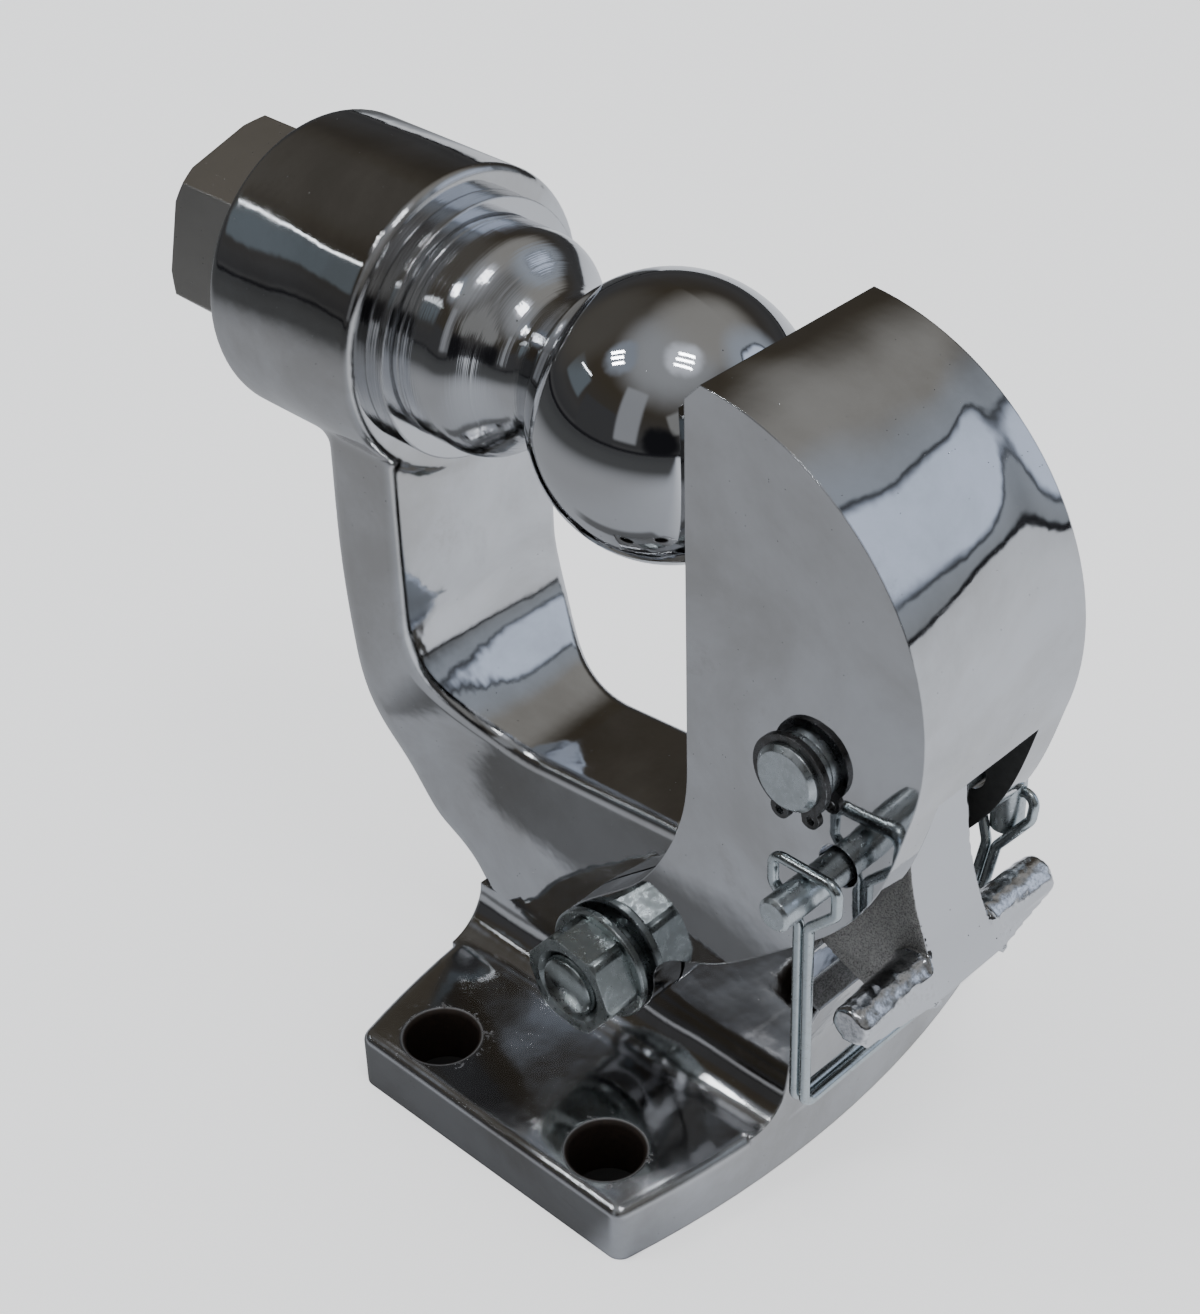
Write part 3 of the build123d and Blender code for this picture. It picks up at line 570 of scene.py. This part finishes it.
for row in frame["record"]["subparts"]:
    mesh = nodes[row["node"]].data
    mesh.materials.clear()
    mesh.materials.append(looks[row["material_slot"]])


# Pieces

ALL_AXES = {"use_axis_x": True, "use_axis_y": True, "use_axis_z": True}
# Below this angle in degrees a turned or sawn piece is shaded smooth
SMOOTH_BELOW = 25


def merged_copy(node):
    """A copy of a CAD node's mesh with its loose triangles joined."""
    shape = bmesh.new()
    shape.from_mesh(nodes[node].data)
    bmesh.ops.remove_doubles(shape, verts=shape.verts, dist=0.002 * MM)
    return shape


def piece(name, shape, body, slot, smooth_angle=None):
    """An object made of that bmesh, riding on a body, in a slot's finish."""
    mesh = bpy.data.meshes.new(name)
    shape.to_mesh(mesh)
    shape.free()
    mesh.shade_smooth()
    if smooth_angle is not None:
        mesh.set_sharp_from_angle(angle=radians(smooth_angle))
    made = bpy.data.objects.new(name, mesh)
    bpy.context.collection.objects.link(made)
    mesh.materials.append(looks[slot])
    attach(made, body)
    return made


def baked(shape, kind, **settings):
    """That bmesh with one modifier applied."""
    mesh = bpy.data.meshes.new("before")
    shape.to_mesh(mesh)
    shape.free()
    before = bpy.data.objects.new("before", mesh)
    bpy.context.collection.objects.link(before)
    modifier = before.modifiers.new("change", kind)
    for name, value in settings.items():
        setattr(modifier, name, value)
    after = bpy.data.meshes.new_from_object(before.evaluated_get(bpy.context.evaluated_depsgraph_get()))
    bpy.data.objects.remove(before)
    bpy.data.meshes.remove(mesh)
    result = bmesh.new()
    result.from_mesh(after)
    bpy.data.meshes.remove(after)
    return result


def add_ground_face(shape):
    """A bar along the heel whose outer side is the face ground flush with the strip."""
    inner_x, low_x, low_z = 65.2, 66.2, 57.2
    highest_inner, inner_drop = 63.4, 0.6
    stations = []
    for y, top_x, top_z, edge_x, edge_z in GROUND_FACE:
        inner_z = min(top_z, highest_inner) - inner_drop
        section = ((top_x, top_z), (edge_x, edge_z), (low_x, low_z), (inner_x, inner_z))
        stations.append([Vector((x, y, z)) * MM for x, z in section])
    face = shape.faces.new([shape.verts.new(corner) for corner in stations[0]])
    for before, after in zip(stations, stations[1:]):
        made = bmesh.ops.extrude_face_region(shape, geom=[face])["geom"]
        face = next(item for item in made if isinstance(item, bmesh.types.BMFace))
        for corner in face.verts:
            corner.co = after[min(range(len(before)), key=lambda i: (corner.co - before[i]).length)]
    bmesh.ops.recalc_face_normals(shape, faces=shape.faces)


def casting_lump(place):
    """Height of the casting's lumps there: coarse ones with finer ones on them."""
    coarse = random_noise.noise(place * 520) * 0.22 * MM
    return coarse + random_noise.noise(place * 1300) * 0.07 * MM


def stub_move(point, beyond, lump):
    """How a point of a handle stub moves: tapered towards its end, flared at its root, lumpy."""
    out = Vector((point.co.x - HANDLE.x, 0, point.co.z - HANDLE.z))
    taper = 0.08 - 0.18 * beyond / STUB_LENGTH + 0.10 * exp(-beyond / (3 * MM))
    end = 0.3 if abs(point.normal.y) > 0.8 else 1.0
    return out * taper + point.normal * lump * end


def rough_latch():
    """The latch as cast: tapered wrinkled stubs, rough grooved sides, a flat ground outer face."""
    shape = merged_copy("latch_handle")
    add_ground_face(shape)
    shape = baked(shape, "REMESH", mode="VOXEL", voxel_size=0.5 * MM)
    bmesh.ops.smooth_vert(shape, verts=shape.verts, factor=0.5, **ALL_AXES)
    low, high = HEEL_JOIN
    join = [v for v in shape.verts if low < v.co.z < high and v.co.x > HANDLE.x + 1.5 * MM]
    for _ in range(3):
        bmesh.ops.smooth_vert(shape, verts=join, factor=0.5, use_axis_x=True, use_axis_z=True)
    shape.normal_update()
    groove_z, groove_end = SIDE_GROOVE
    for point in shape.verts:
        beyond = abs(point.co.y) - HALF_LATCH
        lump = casting_lump(point.co)
        ground = min(1.0, max(0.0, (point.normal.dot(GROUND_WAY) - 0.7) / 0.2))
        if beyond > 0.3 * MM:
            point.co += stub_move(point, beyond, lump) * (1 - ground)
        elif abs(point.normal.y) > 0.7:
            near = exp(-(((point.co.z - groove_z) / (0.7 * MM)) ** 2))
            hollow = near if point.co.x < groove_end else 0.0
            point.co += point.normal * (lump * 0.5 - hollow * 0.5 * MM)
        elif ground < 0.5:
            point.co += point.normal * random_noise.noise(point.co * 90) * 0.06 * MM
    made = piece("latch_casting", shape, "latch", "latch_cast")
    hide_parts("latch_handle")


def ring_of(profile):
    """A closed ring round the pivot's line, from an open profile of (y, radius) that spin closes."""
    shape = bmesh.new()
    corners = [shape.verts.new((PIVOT.x + radius * MM, y * MM, PIVOT.z)) for y, radius in profile]
    edges = [shape.edges.new(pair) for pair in zip(corners, corners[1:] + corners[:1])]
    bmesh.ops.spin(
        shape, geom=corners + edges, cent=PIVOT, axis=(0, 1, 0), angle=2 * pi, steps=72, use_merge=True
    )
    bmesh.ops.remove_doubles(shape, verts=shape.verts, dist=0.001 * MM)
    bmesh.ops.recalc_face_normals(shape, faces=shape.faces)
    return shape


def cut(shape, cutter):
    """One bmesh less another."""
    mesh = bpy.data.meshes.new("cutter")
    cutter.to_mesh(mesh)
    cutter.free()
    tool = bpy.data.objects.new("cutter", mesh)
    bpy.context.collection.objects.link(tool)
    shape = baked(shape, "BOOLEAN", operation="DIFFERENCE", solver="EXACT", object=tool)
    bpy.data.objects.remove(tool)
    bpy.data.meshes.remove(mesh)
    return shape


def pivot_thread():
    """A countersunk mouth in the pivot's nut, and the thread seen in it on the bolt's end."""
    # The cutters' profiles are (y, radius) in mm
    mouth = ring_of(((-32.9, 4.0), (-32.9, 8.1), (-31.1, 6.3), (-31.1, 4.0), (-32.0, 3.9)))
    shape = cut(merged_copy("pivot_nut"), mouth)
    made = piece("pivot_nut_countersunk", shape, "root", "zinc_plate", SMOOTH_BELOW)
    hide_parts("pivot_nut")
    half_groove, outside, groove_root = 0.62, 6.7, 5.75
    shape = merged_copy("pivot_bolt")
    for y in (-31.05, -32.35):
        groove = ring_of(((y - half_groove, outside), (y + half_groove, outside), (y, groove_root)))
        shape = cut(shape, groove)
    made = piece("pivot_bolt_threaded", shape, "root", "zinc_plate", SMOOTH_BELOW)
    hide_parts("pivot_bolt")


rough_latch()
pivot_thread()


# Floor, light and camera

# The floor's own colour, and what the chrome mirrors of it: a dim and a bright half, a dark far part
# and a painted shadow beside the plate. Under the plate it is dark for every ray, a painted contact
# shadow.
FLOOR = (0.84, 0.84, 0.84, 1)
DIM_HALF, BRIGHT_HALF = (0.43, 0.43, 0.435, 1), (0.66, 0.68, 0.72, 1)
FAR_FLOOR = (0.085, 0.085, 0.083, 1)
SHADOW_BESIDE_PLATE = (0.10, 0.098, 0.094, 1)
SHADOW_UNDER_PLATE = (0.01, 0.009, 0.008, 1)

floor_shape = bmesh.new()
bmesh.ops.create_grid(floor_shape, x_segments=1, y_segments=1, size=30.0)
floor_mesh = bpy.data.meshes.new("floor")
floor_shape.to_mesh(floor_mesh)
floor_shape.free()
floor = bpy.data.objects.new("floor", floor_mesh)
bpy.context.collection.objects.link(floor)
pale, tree, shader = new_material("pale_floor")
place = add(tree, "ShaderNodeTexCoord").outputs["Object"]
x, y = parts_of(tree, place)[:2]
side_way = math(tree, "ADD", x, y)
mirrored = mix_colour(tree, remap(tree, side_way, -0.34, 0.16), DIM_HALF, BRIGHT_HALF)
from_hook = add(tree, "ShaderNodeVectorMath", operation="LENGTH")
feed(tree, from_hook.inputs[0], place)
away = product(tree, remap(tree, from_hook.outputs["Value"], 0.26, 0.75), remap(tree, side_way, 0.0, -0.1))
mirrored = mix_colour(tree, away, mirrored, FAR_FLOOR)
# Painted shadow on the floor beside the plate, seen only in the chrome
beside = product(
    tree, remap(tree, y, -0.080, -0.068), remap(tree, y, -0.044, -0.052), remap(tree, x, -0.11, -0.075),
    remap(tree, x, 0.034, 0.024),
)
mirrored = mix_colour(tree, product(tree, beside, 0.8), mirrored, SHADOW_BESIDE_PLATE)
# Painted contact shadow under the plate: dark for every ray, with no glow
within = [
    remap(tree, math(tree, "ABSOLUTE", way), half + 3.0 * MM, half - 1.0 * MM)
    for way, half in zip((x, y), HALF_PLATE)
]
under = product(tree, *within)
seen_in_chrome = add(tree, "ShaderNodeLightPath").outputs["Is Glossy Ray"]
seen_directly = add(tree, "ShaderNodeLightPath").outputs["Is Camera Ray"]
colour = mix_colour(tree, seen_in_chrome, FLOOR, mirrored)
feed(tree, shader.inputs["Base Color"], mix_colour(tree, under, colour, SHADOW_UNDER_PLATE))
shader.inputs["Roughness"].default_value = 0.9
shader.inputs["Emission Color"].default_value = (1, 1, 1, 1)
bright_side = product(tree, remap(tree, side_way, -0.03, 0.04), seen_in_chrome, 0.34)
lit = math(tree, "ADD", product(tree, seen_directly, 0.85), bright_side)
feed(tree, shader.inputs["Emission Strength"], product(tree, lit, math(tree, "SUBTRACT", 1.0, under)))
floor_mesh.materials.append(pale)


def towards(azimuth, elevation):
    """A direction from the object, in degrees from +X and above the floor."""
    a, e = radians(azimuth), radians(elevation)
    return Vector((cos(a) * cos(e), sin(a) * cos(e), sin(e)))


# The walls' colour by height: the sine of the elevation, from the skirting to the ceiling
WALLS = (
    (0.0, (0.10, 0.10, 0.10)), (0.08, (0.055, 0.055, 0.057)), (0.2, (0.065, 0.064, 0.064)),
    (0.4, (0.060, 0.054, 0.047)), (0.62, (0.062, 0.052, 0.038)), (0.78, (0.075, 0.066, 0.052)),
    (1.0, (0.2, 0.19, 0.175)),
)
# Flat panels: azimuth, elevation, half width and half height, all in degrees, and colour
PANELS = (
    (-10, 29, 36, 9, (0.27, 0.27, 0.265, 1)),
    (-110, 11, 17, 13, (0.060, 0.060, 0.062, 1)),
    (-84, 26, 9, 19, (0.33, 0.34, 0.36, 1)),
    (-146, 24, 12, 7, (0.15, 0.175, 0.195, 1)),
)
# Round glows: azimuth, elevation, outer and inner radius, all in degrees, and colour
GLOWS = (
    (178, 36, 34, 10, (0.10, 0.092, 0.08, 1)),
    (-40, 76, 48, 14, (0.36, 0.37, 0.385, 1)),
    (78, 60, 40, 10, (0.34, 0.33, 0.31, 1)),
    (-18, 72, 17, 5, (0.80, 0.83, 0.90, 1)),
    (-131, 54, 15, 6, (0.30, 0.33, 0.38, 1)),
    (46, 4, 20, 6, (0.30, 0.31, 0.32, 1)),
    (50, 27, 34, 14, (0.40, 0.44, 0.50, 1)),
    (50, 24, 18.5, 17.5, (0.07, 0.075, 0.085, 1)),
    (50, 24, 17.5, 14.5, (0.85, 0.96, 1.18, 1)),
    (-57, 8, 16, 9, (0.012, 0.012, 0.014, 1)),
)
GLOW_WOBBLE = 0.07
SKIRTING = (0.018, 0.018, 0.021, 1)
# What lights the floor, and what the camera sees above it in a low view
SOFT_SKY = (0.78, 0.80, 0.83, 1)
BACKDROP = (1.38, 1.38, 1.39, 1)

world = bpy.data.worlds.new("studio")
world.use_nodes = True
bpy.context.scene.world = world
tree = world.node_tree
background = tree.nodes["Background"]
sky = add(tree, "ShaderNodeTexCoord").outputs["Generated"]
height = parts_of(tree, sky)[2]
ramp = add(tree, "ShaderNodeValToRGB")
feed(tree, ramp.inputs["Fac"], math(tree, "ADD", height, 0.0, clamp=True))
while len(ramp.color_ramp.elements) < len(WALLS):
    ramp.color_ramp.elements.new(0.5)
for element, (level, colour) in zip(ramp.color_ramp.elements, WALLS):
    element.position = level
    element.color = (*colour, 1)
light = ramp.outputs["Color"]
for azimuth, elevation, half_width, half_height, colour in PANELS:
    a, e = radians(azimuth), radians(elevation)
    ahead = dot(tree, sky, towards(azimuth, elevation))
    mask = math(tree, "GREATER_THAN", ahead, 0.1)
    level_way = Vector((-sin(a), cos(a), 0))
    upright_way = Vector((-cos(a) * sin(e), -sin(a) * sin(e), cos(e)))
    for way, half in ((level_way, half_width), (upright_way, half_height)):
        off = math(tree, "ABSOLUTE", math(tree, "DIVIDE", dot(tree, sky, way), ahead))
        mask = product(tree, mask, remap(tree, off, tan(radians(half + 1.5)), tan(radians(half - 1.0))))
    light = mix_colour(tree, mask, light, colour)
wobble = noise(tree, sky, 2.2, roughness=0.55)
for azimuth, elevation, outer, inner, colour in GLOWS:
    near = dot(tree, sky, towards(azimuth, elevation))
    shaken = math(tree, "ADD", near, product(tree, math(tree, "SUBTRACT", wobble, 0.5), GLOW_WOBBLE))
    strength = remap(tree, shaken, cos(radians(outer)), cos(radians(inner)))
    light = mix_colour(tree, strength, light, colour)
skirting = product(tree, remap(tree, height, 0.040, 0.022), remap(tree, height, -0.03, -0.012))
light = mix_colour(tree, skirting, light, SKIRTING)
paths = add(tree, "ShaderNodeLightPath")
light = mix_colour(tree, paths.outputs["Is Diffuse Ray"], light, SOFT_SKY)
light = mix_colour(tree, paths.outputs["Is Camera Ray"], light, BACKDROP)
feed(tree, background.inputs["Color"], light)


LAMP_DISTANCE = 2.2
HOOK_MIDDLE = Vector((0, 0, 0.12))
COOL, COOLER = (0.95, 0.97, 1.0), (0.92, 0.96, 1.0)


def strip_lamp(name, start, end, width, power, colour):
    """A soft studio strip light between two directions, facing the hook."""
    first, last = towards(*start), towards(*end)
    way = (first + last).normalized()
    along = (last - first).normalized()
    lamp = bpy.data.lights.new(name, "AREA")
    lamp.shape, lamp.size, lamp.size_y = "RECTANGLE", (last - first).length * LAMP_DISTANCE, width
    lamp.energy, lamp.color = power, colour
    holder = bpy.data.objects.new(name, lamp)
    turn = Matrix((along, way.cross(along), way)).transposed()
    holder.matrix_world = Matrix.Translation(way * LAMP_DISTANCE + HOOK_MIDDLE) @ turn.to_4x4()
    bpy.context.collection.objects.link(holder)


# Strips: name, azimuth and elevation of both ends, width in metres, power in watts, colour
STRIPS = (
    ("window_left", (-151, 29.5), (-135, 32.8), 0.022, 0.35, COOLER),
    ("left_low", (-141.2, 50.4), (-135.2, 58.9), 0.035, 1.6, COOL),
    ("left_middle", (-135.2, 49.5), (-127.8, 57.3), 0.035, 1.6, COOL),
    ("left_high", (-128.5, 48.4), (-120.8, 55.6), 0.035, 1.6, COOL),
    ("right_low", (-21.8, 78.0), (4.5, 69.4), 0.04, 2.0, COOL),
    ("right_middle", (-35.8, 74.4), (-5.1, 66.7), 0.04, 2.0, COOL),
    ("right_high", (-42.5, 70.2), (-14.0, 63.3), 0.04, 2.0, COOL),
)
for strip in STRIPS:
    strip_lamp(*strip)

# Camera at the photograph's place: azimuth 44.9, elevation 36.1, turned 1.9 degrees
camera_data = bpy.data.cameras.new("camera")
frame_height, focal_pixels = 1314, 2566.7
camera_data.sensor_width = 36.0
camera_data.lens = focal_pixels / frame_height * camera_data.sensor_width
camera_data.clip_start, camera_data.clip_end = 0.01, 100.0
camera = bpy.data.objects.new("camera", camera_data)
bpy.context.collection.objects.link(camera)
azimuth, elevation, roll = radians(44.897), radians(36.101), radians(-1.911)
turn = Matrix.Rotation(azimuth, 3, "Z") @ Matrix.Rotation(pi / 2 - elevation, 3, "X")
turn = turn @ Matrix.Rotation(roll, 3, "Z")
camera.matrix_world = Matrix.Translation((0.25817, -0.27688, 0.36859)) @ turn.to_4x4()
bpy.context.scene.camera = camera
